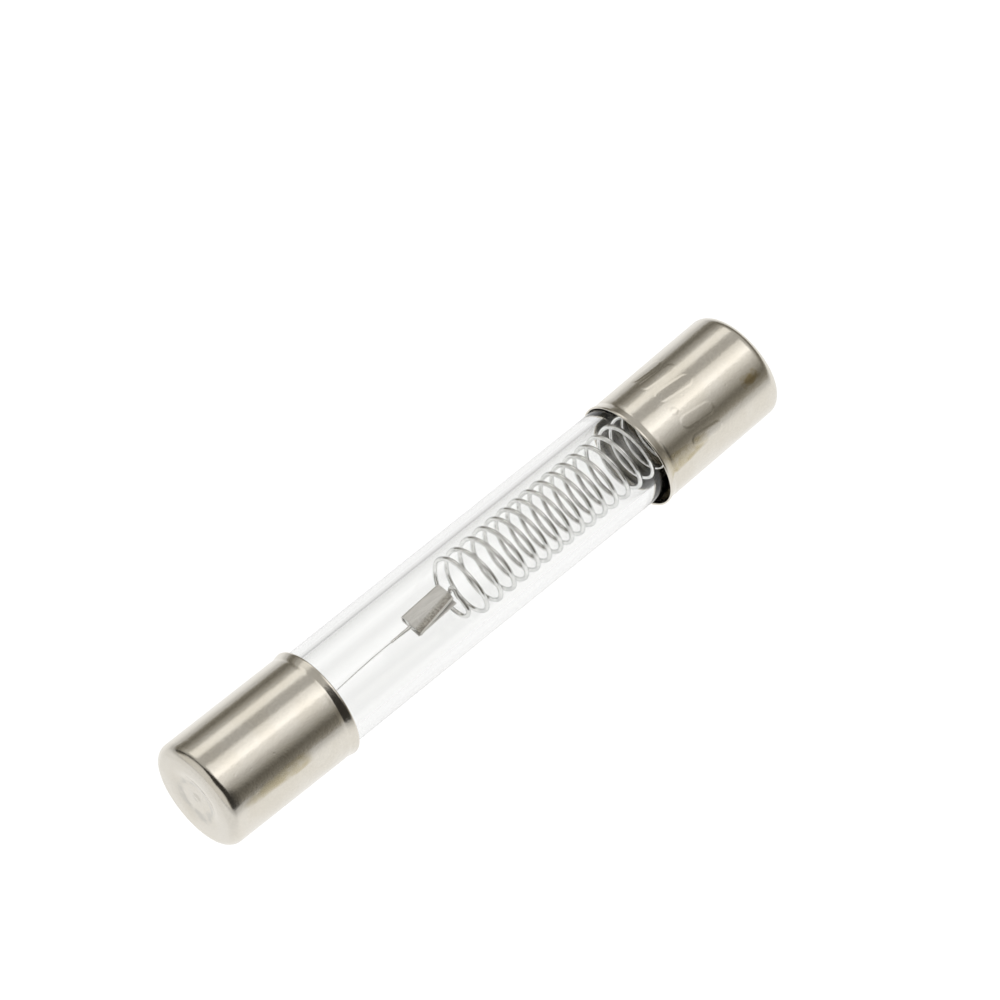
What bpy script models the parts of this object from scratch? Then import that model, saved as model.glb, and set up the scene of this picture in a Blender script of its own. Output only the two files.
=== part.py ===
"""A glass cartridge fuse of the high-voltage spring type, nominal 6 x 40 mm.

The fuse lies along X with its middle at the origin. The near cap is at -X and holds the fuse wire.
The far cap is at +X and holds the tension spring, whose hook pulls on the crimp lug.
All values are in metres and degrees.
"""

import math

import bmesh
import bpy
from mathutils import Matrix, Vector

MM = 0.001

# Driving dimensions
FUSE_LENGTH = 40.0 * MM
CAP_RADIUS = 3.175 * MM
CAP_LENGTH = 8.7 * MM
CAP_WALL = 0.175 * MM
CAP_BOTTOM = 0.25 * MM
CAP_CORNER = 0.375 * MM
LIP_RADIUS = 3.26 * MM
DISH_RADIUS = 1.3 * MM
DISH_DEPTH = 0.25 * MM
DISH_RIM_RADIUS = 2.1 * MM
NIPPLE_RADIUS = 0.3 * MM
NIPPLE_HEIGHT = 0.05 * MM

GLASS_RADIUS = 2.925 * MM
BORE_RADIUS = 2.275 * MM
GLASS_LENGTH = 38.6 * MM

RUNNING_GAP = 0.015 * MM
CEMENT_START = 0.95 * MM
CEMENT_LENGTH = 5.5 * MM

COIL_RADIUS = 1.78 * MM
SPRING_WIRE_RADIUS = 0.125 * MM
COIL_START_X = -1.312 * MM
COIL_END_X = 18.8 * MM
COIL_START_ANGLE = 26.2
COIL_PITCH = 0.836 * MM
FIRST_TURN = 0.25
LAST_TURN = 23.48
OPEN_TURNS = 3.0
OPEN_STRETCH = 0.4786 * MM
COIL_LEAN = 0.047
POINTS_PER_TURN = 12

LUG_START_X = -4.65 * MM
LUG_END_X = -1.8 * MM
LUG_SHEET = 0.1 * MM
LUG_GAP = 0.28 * MM

FUSE_WIRE_RADIUS = 0.04 * MM
WIRE_BOW = 0.25 * MM
WIRE_START_X = -19.3 * MM
WIRE_END_X = -4.0 * MM
SLEEVE_TIP_X = -6.05 * MM
SLEEVE_END_X = -3.8 * MM
SLEEVE_BORE = 0.055 * MM
SLEEVE_TIP_RADIUS = 0.075 * MM
SLEEVE_RADIUS = 0.1 * MM

SOLDER_RADIUS = 2.1 * MM
SOLDER_BASE_X = 19.46 * MM
SOLDER_DEPTH = 0.5 * MM
SOLDER_DOME = 0.55 * MM
BOSS_RADIUS = 1.55 * MM
BOSS_LENGTH = 1.2 * MM

ROUND_STEPS = 48
SMALL_STEPS = 16
WELD_DISTANCE = 1e-6


def clear_scene():
    for item in list(bpy.data.objects):
        bpy.data.objects.remove(item)


def make_material(name, colour, roughness, metallic):
    material = bpy.data.materials.new(name)
    material.use_nodes = True
    shader = material.node_tree.nodes["Principled BSDF"]
    shader.inputs["Base Color"].default_value = (*colour, 1.0)
    shader.inputs["Roughness"].default_value = roughness
    shader.inputs["Metallic"].default_value = metallic
    return material


def make_glass_material():
    material = make_material("clear_glass", (0.95, 0.97, 0.96), 0.02, 0.0)
    shader = material.node_tree.nodes["Principled BSDF"]
    shader.inputs["Transmission Weight"].default_value = 1.0
    shader.inputs["IOR"].default_value = 1.5
    return material


def add_object(name, data, collection, material):
    """Link a new object that holds data, with one material."""
    item = bpy.data.objects.new(name, data)
    if not data.materials:
        data.materials.append(material)
    collection.objects.link(item)
    return item


def profile_mesh(name, profile, closed):
    """A mesh of edges through (height, radius) points in the XZ plane, ready to be turned round Z."""
    mesh = bmesh.new()
    corners = [mesh.verts.new((radius, 0.0, height)) for height, radius in profile]
    for first, second in zip(corners, corners[1:]):
        mesh.edges.new((first, second))
    if closed:
        mesh.edges.new((corners[-1], corners[0]))
    data = bpy.data.meshes.new(name)
    mesh.to_mesh(data)
    mesh.free()
    return data


def add_screw(item, steps):
    screw = item.modifiers.new("turn", "SCREW")
    screw.axis = "Z"
    screw.angle = math.tau
    screw.steps = steps
    screw.render_steps = steps
    screw.use_merge_vertices = True
    screw.merge_threshold = WELD_DISTANCE
    screw.use_smooth_shade = True


def point_along_x(item, direction, steps):
    """Lay the object's own Z along +X or -X, with a flat facet of its round side at the bottom."""
    half_step = Matrix.Rotation(math.pi / steps, 3, "Z")
    lay_down = Matrix.Rotation(direction * math.pi / 2, 3, "Y")
    item.rotation_euler = (lay_down @ half_step).to_euler()


def turned(name, profile, closed, steps, collection, material):
    """A turned solid whose (x, radius) profile runs down its outer side, from high x to low x."""
    item = add_object(name, profile_mesh(name, profile, closed), collection, material)
    add_screw(item, steps)
    point_along_x(item, 1, steps)
    return item


def arc(centre_height, centre_radius, size, first, last, count):
    """Points of a circular arc in a profile, with angles from the radial direction towards height."""
    points = []
    for index in range(count + 1):
        angle = math.radians(first + (last - first) * index / count)
        points.append((centre_height + size * math.sin(angle), centre_radius + size * math.cos(angle)))
    return points


def cap_profile():
    """Half section of a drawn cap: closed end at height 0, bell mouth at the bottom."""
    inner = CAP_RADIUS - CAP_WALL
    dish_floor = -DISH_DEPTH
    outer_face = [
        (dish_floor + NIPPLE_HEIGHT, 0.0),
        (dish_floor + NIPPLE_HEIGHT, 0.5 * NIPPLE_RADIUS),
        (dish_floor, NIPPLE_RADIUS),
        (dish_floor, DISH_RADIUS),
        (0.0, DISH_RIM_RADIUS),
    ]
    corner = arc(-CAP_CORNER, CAP_RADIUS - CAP_CORNER, CAP_CORNER, 90.0, 0.0, 4)
    neck = -CAP_LENGTH + 0.75 * MM
    mouth = [
        (neck, CAP_RADIUS),
        (neck - 0.2 * MM, CAP_RADIUS - 0.025 * MM),
        (neck - 0.42 * MM, LIP_RADIUS - 0.04 * MM),
        (neck - 0.58 * MM, LIP_RADIUS),
        (-CAP_LENGTH + 0.03 * MM, LIP_RADIUS - 0.03 * MM),
        (-CAP_LENGTH, LIP_RADIUS - 0.08 * MM),
        (-CAP_LENGTH + 0.04 * MM, LIP_RADIUS - 0.13 * MM),
        (neck - 0.25 * MM, inner),
    ]
    inner_corner = 0.2 * MM
    inner_face = [
        (-CAP_BOTTOM - inner_corner, inner),
        (-CAP_BOTTOM, inner - inner_corner),
        (-CAP_BOTTOM, DISH_RIM_RADIUS),
        (dish_floor - CAP_BOTTOM, DISH_RADIUS),
        (dish_floor - CAP_BOTTOM, 0.0),
    ]
    return outer_face + corner + mouth + inner_face


def build_caps(collection):
    nickel = make_material("nickel_plate", (0.72, 0.70, 0.66), 0.22, 1.0)
    data = profile_mesh("cap", cap_profile(), closed=False)
    for name, direction in (("near_cap", -1), ("far_cap", 1)):
        cap = add_object(name, data, collection, nickel)
        add_screw(cap, ROUND_STEPS)
        point_along_x(cap, direction, ROUND_STEPS)
        cap.location.x = direction * FUSE_LENGTH / 2


def ring_profile(start, end, inner, outer, chamfer):
    """Half section of a tube from start to end along X, with chamfered ends."""
    return [
        (end, outer - chamfer),
        (end - chamfer, outer),
        (start + chamfer, outer),
        (start, outer - chamfer),
        (start, inner + chamfer),
        (start + chamfer, inner),
        (end - chamfer, inner),
        (end, inner + chamfer),
    ]


def build_glass_tube(collection):
    half = GLASS_LENGTH / 2
    profile = ring_profile(-half, half, BORE_RADIUS, GLASS_RADIUS, 0.12 * MM)
    turned("glass_tube", profile, True, ROUND_STEPS, collection, make_glass_material())


def build_cement(collection):
    """The thin ring of cement between each cap and the glass."""
    cement = make_material("cap_cement", (0.55, 0.50, 0.42), 0.8, 0.0)
    inner = GLASS_RADIUS + RUNNING_GAP
    outer = CAP_RADIUS - CAP_WALL - RUNNING_GAP
    start = FUSE_LENGTH / 2 - CEMENT_START - CEMENT_LENGTH
    end = FUSE_LENGTH / 2 - CEMENT_START
    for name, low, high in (("near_cement", -end, -start), ("far_cement", start, end)):
        profile = ring_profile(low, high, inner, outer, 0.01 * MM)
        turned(name, profile, True, ROUND_STEPS, collection, cement)


def build_near_solder(collection, solder):
    """The plug of solder in the near cap, with a fine bore where the fuse wire goes in."""
    base = -SOLDER_BASE_X
    top = base + SOLDER_DEPTH
    profile = [(top + SOLDER_DOME, SLEEVE_BORE)]
    for share in (0.35, 0.65, 0.88):
        dome = SOLDER_DOME * math.sqrt(1.0 - share * share)
        profile.append((top + dome, share * SOLDER_RADIUS))
    profile += [(top, SOLDER_RADIUS), (base, SOLDER_RADIUS), (base, SLEEVE_BORE)]
    turned("near_solder", profile, True, ROUND_STEPS // 2, collection, solder)


def build_far_solder(collection, solder):
    """The plug of solder in the far cap, whose boss fills the spring's last turns."""
    face = COIL_END_X + SPRING_WIRE_RADIUS + 0.15 * MM
    tip = face - BOSS_LENGTH
    profile = [
        (SOLDER_BASE_X, 0.0),
        (SOLDER_BASE_X, SOLDER_RADIUS),
        (face, SOLDER_RADIUS),
        (face, BOSS_RADIUS),
        (tip, BOSS_RADIUS - 0.2 * MM),
        (tip - 0.25 * MM, 0.0),
    ]
    turned("far_solder", profile, False, ROUND_STEPS // 2, collection, solder)


def wire_object(name, points, radius, collection, material):
    """A round wire along the points, as a bevelled poly curve with filled ends."""
    curve = bpy.data.curves.new(name, "CURVE")
    curve.dimensions = "3D"
    curve.bevel_depth = radius
    curve.bevel_resolution = 2
    curve.use_fill_caps = True
    spline = curve.splines.new("POLY")
    spline.points.add(len(points) - 1)
    for slot, point in zip(spline.points, points):
        slot.co = (*point, 1.0)
    return add_object(name, curve, collection, material)


def coil_point(turns):
    """The spring wire's centre line on a right-handed helix, which is opener over its first few turns."""
    angle = math.tau * turns
    opening = OPEN_STRETCH * math.erf(turns / OPEN_TURNS)
    lean = COIL_LEAN * COIL_RADIUS * math.sin(angle)
    x = COIL_START_X + COIL_PITCH * turns + opening + lean
    angle += math.radians(COIL_START_ANGLE)
    return Vector((x, COIL_RADIUS * math.cos(angle), COIL_RADIUS * math.sin(angle)))


def smooth_path(route, per_span):
    """A Catmull-Rom curve through the route's points, with the first and last left as they are."""
    padded = [route[0] * 2 - route[1], *route, route[-1] * 2 - route[-2]]
    path = []
    for before, start, end, after in zip(padded, padded[1:], padded[2:], padded[3:]):
        for index in range(per_span):
            t = index / per_span
            bend = (start - end) * 3 + after - before
            slope = before * 2 - start * 5 + end * 4 - after
            path.append(start + ((end - before) * t + slope * t**2 + bend * t**3) * 0.5)
    path.append(route[-1])
    return path


def spring_hook():
    """The spring's tail: from between the lug's leaves it bends up, over and down, and round to the coil."""
    route = [
        Vector((-2.60, 0.10, 0.0)),
        Vector((-1.97, 0.10, 0.0)),
        Vector((-1.68, 0.12, 0.07)),
        Vector((-1.60, 0.15, 0.26)),
        Vector((-1.57, 0.06, 0.41)),
        Vector((-1.55, -0.13, 0.39)),
        Vector((-1.58, -0.36, 0.15)),
        Vector((-1.53, -0.63, -0.10)),
        Vector((-1.50, -1.03, -0.45)),
        Vector((-1.51, -1.13, -0.78)),
        Vector((-1.56, -1.02, -1.18)),
        Vector((-1.62, -0.54, -1.40)),
        Vector((-1.70, 0.12, -1.27)),
        Vector((-1.60, 0.90, -1.14)),
        Vector((-1.45, 1.40, -0.68)),
        Vector((-1.25, 1.76, 0.04)),
        Vector((-1.10, 1.67, 0.82)),
        Vector((-1.00, 0.62, 1.66)),
    ]
    return [point * MM for point in route]


def build_spring(collection):
    steel = make_material("spring_wire", (0.62, 0.62, 0.61), 0.25, 1.0)
    count = round((LAST_TURN - FIRST_TURN) * POINTS_PER_TURN)
    step = (LAST_TURN - FIRST_TURN) / count
    coil = [coil_point(FIRST_TURN + step * index) for index in range(count + 1)]
    tail = smooth_path([*spring_hook(), coil[0], coil[2]], 3)[:-3]
    wire_object("retraction_spring", tail + coil[1:], SPRING_WIRE_RADIUS, collection, steel)


def fuse_wire_point(x):
    """The fuse wire's centre line at x: straight in both joints, with a slight bow between them."""
    bow_start = -SOLDER_BASE_X + SOLDER_DEPTH + SOLDER_DOME
    bow_end = SLEEVE_TIP_X - 0.2 * MM
    share = min(1.0, max(0.0, (x - bow_start) / (bow_end - bow_start)))
    return Vector((x, -WIRE_BOW * math.sin(math.pi * share) ** 2, 0.0))


def build_fuse_wire(collection):
    silver = make_material("fuse_wire", (0.70, 0.70, 0.69), 0.3, 1.0)
    count = 24
    step = (WIRE_END_X - WIRE_START_X) / count
    points = [fuse_wire_point(WIRE_START_X + step * index) for index in range(count + 1)]
    wire_object("fuse_wire", points, FUSE_WIRE_RADIUS, collection, silver)


def build_lug_solder(collection, solder):
    """The tapered sleeve of solder round the fuse wire, which runs on between the lug's leaves."""
    profile = [
        (SLEEVE_END_X, SLEEVE_BORE),
        (SLEEVE_END_X, SLEEVE_RADIUS),
        (LUG_START_X, SLEEVE_RADIUS),
        (LUG_START_X - 0.5 * MM, 0.9 * SLEEVE_RADIUS),
        (SLEEVE_TIP_X, SLEEVE_TIP_RADIUS),
        (SLEEVE_TIP_X, SLEEVE_BORE),
    ]
    turned("lug_solder", profile, True, SMALL_STEPS, collection, solder)


def lug_section(share):
    """The lug's middle sheet at a share of its length: top leaf, round fold at +Y, bottom leaf."""
    leaf = (LUG_GAP + LUG_SHEET) / 2
    top_edge = (-0.77 + 0.50 * share) * MM
    fold_edge = (0.74 + 0.16 * share) * MM - leaf
    bottom_edge = (-0.62 + 0.14 * share) * MM
    section = [(top_edge, leaf)]
    fold_steps = 6
    for index in range(fold_steps + 1):
        angle = math.pi / 2 - math.pi * index / fold_steps
        section.append((fold_edge + leaf * math.cos(angle), leaf * math.sin(angle)))
    section.append((bottom_edge, -leaf))
    return section


def build_crimp_lug(collection):
    """The folded strip of tinned metal that joins the spring's hook to the fuse wire."""
    tin = make_material("tinned_strip", (0.60, 0.60, 0.58), 0.45, 1.0)
    sheet = bmesh.new()
    rows = []
    stations = 6
    for index in range(stations + 1):
        share = index / stations
        x = LUG_START_X + (LUG_END_X - LUG_START_X) * share
        rows.append([sheet.verts.new((x, y, z)) for y, z in lug_section(share)])
    for row, following in zip(rows, rows[1:]):
        for index in range(len(row) - 1):
            sheet.faces.new((row[index], following[index], following[index + 1], row[index + 1]))
    data = bpy.data.meshes.new("crimp_lug")
    sheet.to_mesh(data)
    sheet.free()
    lug = add_object("crimp_lug", data, collection, tin)
    solidify = lug.modifiers.new("sheet", "SOLIDIFY")
    solidify.thickness = LUG_SHEET
    solidify.offset = 0.0


def build_fuse():
    clear_scene()
    collection = bpy.data.collections.new("cartridge_fuse")
    bpy.context.scene.collection.children.link(collection)
    solder = make_material("solder", (0.66, 0.66, 0.65), 0.4, 1.0)
    build_glass_tube(collection)
    build_caps(collection)
    build_cement(collection)
    build_near_solder(collection, solder)
    build_far_solder(collection, solder)
    build_spring(collection)
    build_crimp_lug(collection)
    build_lug_solder(collection, solder)
    build_fuse_wire(collection)


build_fuse()
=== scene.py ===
"""Scene of the glass cartridge fuse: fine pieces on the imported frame, their materials, light and camera.

The fuse lies along X with its middle at the origin, and the near cap is at -X. Lengths are in metres,
but the patterns of a material are placed in millimetres. A place round a cap is given by its turn: the
angle round the fuse's axis in degrees, 0 towards the camera and positive towards -Y.
"""

import math

import bmesh
import bpy
import numpy as np
from mathutils import Matrix, Vector, noise


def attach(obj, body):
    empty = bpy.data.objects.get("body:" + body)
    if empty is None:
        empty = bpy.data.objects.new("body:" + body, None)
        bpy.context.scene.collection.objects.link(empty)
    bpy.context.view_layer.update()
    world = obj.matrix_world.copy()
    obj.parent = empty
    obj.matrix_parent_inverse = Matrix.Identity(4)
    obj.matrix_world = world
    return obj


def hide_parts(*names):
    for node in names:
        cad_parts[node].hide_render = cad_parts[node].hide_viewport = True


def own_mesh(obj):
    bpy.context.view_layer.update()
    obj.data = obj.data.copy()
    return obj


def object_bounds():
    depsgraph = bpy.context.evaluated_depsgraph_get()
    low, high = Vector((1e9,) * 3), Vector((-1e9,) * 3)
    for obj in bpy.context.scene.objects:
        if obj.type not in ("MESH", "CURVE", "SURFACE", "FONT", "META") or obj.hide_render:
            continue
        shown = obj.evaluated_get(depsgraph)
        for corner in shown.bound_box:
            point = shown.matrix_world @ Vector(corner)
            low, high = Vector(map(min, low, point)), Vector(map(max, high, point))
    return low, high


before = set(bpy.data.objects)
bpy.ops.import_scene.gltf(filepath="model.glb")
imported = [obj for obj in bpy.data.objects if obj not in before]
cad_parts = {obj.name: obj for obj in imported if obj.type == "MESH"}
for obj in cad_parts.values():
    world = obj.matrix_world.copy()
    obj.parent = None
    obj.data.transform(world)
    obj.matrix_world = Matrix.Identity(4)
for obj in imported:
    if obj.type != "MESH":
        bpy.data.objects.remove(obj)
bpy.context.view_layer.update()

MM = 0.001
OUTLINE_STEP = 0.5 * MM
# Rings on the rounded end of a wire, in degrees from where the round begins
END_LATITUDES = (80.0, 60.0, 40.0, 20.0)

# Camera
CAMERA_AZIMUTH = -44.15
CAMERA_ELEVATION = 55.5
CAMERA_DISTANCE = 0.37595
CAMERA_RIGHT = 1.43 * MM
CAMERA_UP = 4.05 * MM
CAMERA_LENS = 256.4
CAMERA_SENSOR = 36.0

# Caps
FUSE_HALF = 20.0 * MM
CAP_RADIUS = 3.18 * MM
CAP_LENGTH = 8.7 * MM
CAP_INNER_RADIUS = 3.09 * MM
CAP_STEPS = 512
# Angle about X, from +Y, of the side that has turn 0
CAMERA_SIDE = 116.2
# Which end a cap is on, its tilt in degrees, the pivot of the tilt along X, and its move to the +Y side
NEAR_SEAT = (-1, -0.56, 15.6 * MM, 0.0)
FAR_SEAT = (1, 1.5, 15.6 * MM, -0.06 * MM)
BAR_HEIGHT = 0.010 * MM
BARS_START = 3.5 * MM
BARS_END = 7.2 * MM
BAR_STEP = 0.04 * MM
# Where a bar's side starts and ends, from its outline outwards
BAR_SIDE = (-0.09 * MM, 0.06 * MM)
# Depth from the end plane, turn, length, width and slant of each raised bar on the far cap
FAR_BARS = (
    (5.30 * MM, -64.0, 2.0 * MM, 0.70 * MM, -8.0),
    (5.35 * MM, -45.0, 2.3 * MM, 0.70 * MM, -8.0),
    (5.35 * MM, -23.0, 2.35 * MM, 0.75 * MM, -8.0),
    (6.30 * MM, -5.0, 0.42 * MM, 0.42 * MM, 0.0),
    (5.38 * MM, 12.0, 2.2 * MM, 0.75 * MM, -8.0),
    (5.40 * MM, 34.0, 2.1 * MM, 0.70 * MM, -8.0),
    (5.60 * MM, 57.0, 0.9 * MM, 0.60 * MM, -8.0),
)

# Marks on the nickel, in millimetres
# Start and end of the khaki streak along X, and how far out it begins on the side that STREAK_SIDE faces
NEAR_STREAK = (-19.6, -14.1, 3.146)
FAR_STREAK = (11.3, 14.9, 3.208)
STREAK_SIDE = (0.0, -0.885, 0.466)
# Centre of the brown stain
NEAR_STAIN = (-13.0, 1.0, -3.0)
FAR_STAIN = (18.44, -2.23, 2.27)

# Glass
GLASS_RADIUS = 2.925 * MM
BORE_RADIUS = 2.275 * MM
GLASS_HALF = 19.3 * MM
GLASS_STEPS = 256
GLASS_ROUNDING = 0.2 * MM
GLASS_WANDER = 0.004 * MM

# Cement
CEMENT_START = 0.95 * MM
CEMENT_LENGTH = 5.5 * MM
CEMENT_GAP = 0.006 * MM
CEMENT_STEPS = 128
CEMENT_RAGGEDNESS = 0.12 * MM

# Spring
COIL_RADIUS = 1.78 * MM
SPRING_WIRE_RADIUS = 0.125 * MM
COIL_START_ANGLE = 26.2
COIL_LEAN = 0.047
# Turns counted along the coil, and where each of them lies along X in millimetres
COIL_KNOTS = (
    (-1.0, -2.3),
    (0.25, -1.056),
    (1.0, -0.287),
    (2.0, 0.707),
    (3.5, 2.089),
    (5.0, 3.367),
    (7.0, 5.028),
    (9.0, 6.67),
    (11.0, 8.326),
    (12.0, 9.189),
    (13.0, 10.08),
    (14.0, 11.04),
    (15.0, 11.94),
    (23.48, 18.8),
    (24.48, 19.61),
)
FIRST_TURN = 0.25
LAST_TURN = 23.48
POINTS_PER_TURN = 48
TAIL_STEPS = 7
SPRING_SIDES = 20

# Lug, its solder and the fuse wire
LUG_START_X = -4.65 * MM
LUG_END_X = -1.8 * MM
LUG_SHEET = 0.1 * MM
LUG_GAP = 0.28 * MM
LUG_STATIONS = 48
# Degrees round the rounded edge of the sheet, from one of its sides to the other
EDGE_ANGLES = (60.0, 30.0, 0.0, -30.0, -60.0)
LEAF_STEPS = 24
FOLD_STEPS = 12
# Place of each long edge along Y at the lug's -X end, and how much further to +Y it is at the other end
TOP_EDGE_START = -0.77 * MM
TOP_EDGE_RISE = 0.50 * MM
FOLD_START = 0.74 * MM
FOLD_RISE = 0.16 * MM
BOTTOM_EDGE_START = -0.62 * MM
BOTTOM_EDGE_RISE = 0.14 * MM
# How deep the top leaf's free edge is pressed down, and over what width
EDGE_PRESS = 0.13 * MM
EDGE_PRESS_WIDTH = 0.20 * MM
# How far each end of the lug leans along X, over half of its width
LUG_END_LEAN = 0.02 * MM
LUG_HALF_WIDTH = 0.8 * MM
CRIMP_X = -4.16 * MM
CRIMP_Y = -0.20 * MM
CRIMP_SIZE = 0.13 * MM
CRIMP_DEPTH = 0.07 * MM
LUG_WAVES = 0.012 * MM
SLEEVE_TIP_X = -6.05 * MM
SLEEVE_END_X = -3.8 * MM
SLEEVE_BORE = 0.055 * MM
SLEEVE_STEPS = 24
SLEEVE_LUMPS = 0.008 * MM
# How many times wider and thicker the solder gets where it fills the lug's mouth, and its move there to +Y
MOUTH_WIDENING = 5.4
MOUTH_THICKENING = 1.3
MOUTH_OFFSET = 0.05 * MM
FUSE_WIRE_RADIUS = 0.034 * MM
WIRE_BOW = 0.25 * MM
WIRE_STEPS = 160
WIRE_SIDES = 12
WIRE_START_X = -19.3 * MM
WIRE_END_X = -4.0 * MM
BOW_START_X = -18.41 * MM
BOW_END_X = -6.25 * MM

# Surroundings
FLOOR_HALF = 1.2
FLOOR_GLOW = 1.05
# Height of a direction and the colour of the room's walls there
WALL_STOPS = (
    (0.0, (0.38, 0.36, 0.315)),
    (0.05, (0.27, 0.253, 0.215)),
    (0.112, (0.25, 0.234, 0.198)),
    (0.272, (0.165, 0.153, 0.128)),
    (0.31, (0.185, 0.172, 0.146)),
    (0.461, (0.37, 0.355, 0.32)),
    (0.56, (0.54, 0.53, 0.50)),
    (0.62, (0.50, 0.49, 0.465)),
)
FRONT_COLOUR = (1.0, 0.985, 0.96)
LEFT_COLOUR = (0.76, 0.745, 0.71)
PERSON_COLOUR = (0.035, 0.032, 0.028)
# Direction across the fuse at turn 90
LOWER_SIDE = (0.0, -0.897, -0.442)
PANEL_DISTANCE = 0.4
# Name, first and last angle above +Y in degrees, start and end along X, radiance and colour of each panel
PANELS = (
    ("panel_back", 37.0, 57.0, -0.02, 0.32, 0.62, (1.0, 0.985, 0.95)),
    ("panel_overhead", 82.0, 111.0, 0.0, 0.32, 0.55, (1.0, 0.99, 0.975)),
)


# Meshes


def mesh_piece(name, points, faces, material):
    """A smooth mesh object with its faces turned outwards."""
    data = bpy.data.meshes.new(name)
    data.from_pydata([tuple(point) for point in points], [], faces)
    mesh = bmesh.new()
    mesh.from_mesh(data)
    bmesh.ops.recalc_face_normals(mesh, faces=mesh.faces)
    mesh.to_mesh(data)
    mesh.free()
    data.shade_smooth()
    data.materials.append(material)
    piece = bpy.data.objects.new(name, data)
    bpy.context.scene.collection.objects.link(piece)
    return piece


def ring_faces(ring_count, sides, joined_ends):
    """Quads between neighbouring rings of points, and between the last and first if joined_ends."""
    faces = []
    spans = ring_count if joined_ends else ring_count - 1
    for ring in range(spans):
        low = ring * sides
        high = ((ring + 1) % ring_count) * sides
        for side in range(sides):
            after = (side + 1) % sides
            faces.append((low + side, low + after, high + after, high + side))
    return faces


def pole_faces(ring, pole, sides):
    """Triangles from a ring to one point."""
    first = ring * sides
    return [(first + side, first + (side + 1) % sides, pole) for side in range(sides)]


def rounded(corners, steps=8):
    """A smooth outline through (along, radius, rounding) corners, each rounded by a circular arc."""
    line = []
    for index, (along, radius, rounding) in enumerate(corners):
        corner = np.array((along, radius))
        if rounding == 0.0:
            line.append(corner)
            continue
        before = np.array(corners[index - 1][:2]) - corner
        after = np.array(corners[(index + 1) % len(corners)][:2]) - corner
        before /= np.linalg.norm(before)
        after /= np.linalg.norm(after)
        start = corner + before * rounding
        end = corner + after * rounding
        pull = np.linalg.norm(before - after) / 2
        for step in range(steps + 1):
            t = step / steps
            shares = np.array(((1 - t) ** 2, 2 * pull * t * (1 - t), t * t))
            line.append((start * shares[0] + corner * shares[1] + end * shares[2]) / shares.sum())
    return np.array(line)


def refine(line, longest):
    """The same outline with extra points, so that no step is longer than that."""
    points = [line[0]]
    for start, end in zip(line, line[1:]):
        count = max(1, math.ceil(np.linalg.norm(end - start) / longest))
        points += [start + (end - start) * step / count for step in range(1, count + 1)]
    return np.array(points)


def smooth_path(route, per_span):
    """A Catmull-Rom curve through the route's points, with the first and last left as they are."""
    padded = [route[0] * 2 - route[1], *route, route[-1] * 2 - route[-2]]
    path = []
    for before, start, end, after in zip(padded, padded[1:], padded[2:], padded[3:]):
        for index in range(per_span):
            t = index / per_span
            bend = (start - end) * 3 + after - before
            slope = before * 2 - start * 5 + end * 4 - after
            path.append(start + ((end - before) * t + slope * t**2 + bend * t**3) * 0.5)
    path.append(route[-1])
    return path


def wire_piece(name, path, radius, sides, material):
    """A round wire along the path, with rounded ends."""
    path = np.array([tuple(point) for point in path])
    tangents = np.gradient(path, axis=0)
    tangents /= np.linalg.norm(tangents, axis=1)[:, None]
    side = np.cross(tangents[0], (0.31, 0.52, 0.79))
    turn = np.linspace(0.0, math.tau, sides, endpoint=False)
    rings = []

    def add_ring(centre, direction, latitude):
        """The wire's ring there, or the one at that latitude on the round end centred there."""
        across = np.cross(direction, side)
        offsets = np.outer(np.cos(turn), side) + np.outer(np.sin(turn), across)
        beyond = direction * radius * math.sin(math.radians(latitude))
        rings.append(centre + beyond + radius * math.cos(math.radians(latitude)) * offsets)

    for index, (centre, direction) in enumerate(zip(path, tangents)):
        side = side - direction * np.dot(direction, side)
        side /= np.linalg.norm(side)
        if index == 0:
            for latitude in END_LATITUDES:
                add_ring(centre, direction, -latitude)
        add_ring(centre, direction, 0.0)
    for latitude in reversed(END_LATITUDES):
        add_ring(path[-1], tangents[-1], latitude)
    first_pole = path[0] - tangents[0] * radius
    last_pole = path[-1] + tangents[-1] * radius
    points = np.concatenate([*rings, [first_pole, last_pole]])
    faces = ring_faces(len(rings), sides, joined_ends=False)
    faces += pole_faces(0, len(points) - 2, sides)
    faces += pole_faces(len(rings) - 1, len(points) - 1, sides)
    return mesh_piece(name, points, faces, material)


def smoothstep(low, high, value):
    t = np.clip((value - low) / (high - low), 0.0, 1.0)
    return t * t * (3.0 - 2.0 * t)


# Materials


def add_node(tree, kind, inputs, **settings):
    """A new node. Each entry of inputs is a value or another node's output, for a socket's name or number."""
    item = tree.nodes.new("ShaderNode" + kind)
    for key, value in settings.items():
        setattr(item, key, value)
    for key, value in inputs.items():
        if isinstance(value, bpy.types.NodeSocket):
            tree.links.new(value, item.inputs[key])
        else:
            item.inputs[key].default_value = value
    return item


def calculate(tree, operation, first, second):
    return add_node(tree, "Math", {0: first, 1: second}, operation=operation).outputs[0]


def noise_at(tree, place, scale, detail):
    inputs = {"Vector": place, "Scale": scale, "Detail": detail}
    return add_node(tree, "TexNoise", inputs).outputs["Fac"]


def stretched(tree, place, scale):
    inputs = {0: place, 1: scale}
    return add_node(tree, "VectorMath", inputs, operation="MULTIPLY").outputs[0]


def dot_product(tree, first, second):
    return add_node(tree, "VectorMath", {0: first, 1: second}, operation="DOT_PRODUCT").outputs["Value"]


def length_of(tree, vector):
    return add_node(tree, "VectorMath", {0: vector}, operation="LENGTH").outputs["Value"]


def axis_of(tree, vector, axis):
    return add_node(tree, "SeparateXYZ", {0: vector}).outputs[axis]


def millimetres(tree):
    """The object's own coordinates in millimetres."""
    place = add_node(tree, "TexCoord", {}).outputs["Object"]
    return stretched(tree, place, (1.0 / MM, 1.0 / MM, 1.0 / MM))


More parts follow.
